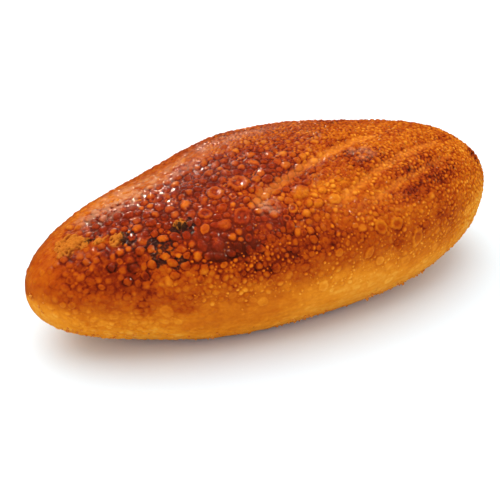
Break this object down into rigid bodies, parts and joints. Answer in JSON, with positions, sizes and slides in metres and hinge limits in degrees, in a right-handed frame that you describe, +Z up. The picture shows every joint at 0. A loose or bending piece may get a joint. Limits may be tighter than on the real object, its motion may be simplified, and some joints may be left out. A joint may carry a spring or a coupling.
{
  "type": "bread roll",
  "caption": "Long oval bread roll with a glossy blistered crust, a narrow end and a blunt end, lying on a small flat base.",
  "frame": {"origin": "middle of the roll's footprint box, at the height of the flat it rests on", "axes": "+X along the roll, from its narrow end to its blunt end; +Z up; +Y away from the side that the narrow and blunt tips lean towards"},
  "size_m": [0.162, 0.0752, 0.0518],
  "materials": {
    "crust": "baked, glossy, blistered"
  },
  "bodies": {
    "root": {"bread_roll": "crust"}
  },
  "joints": []
}
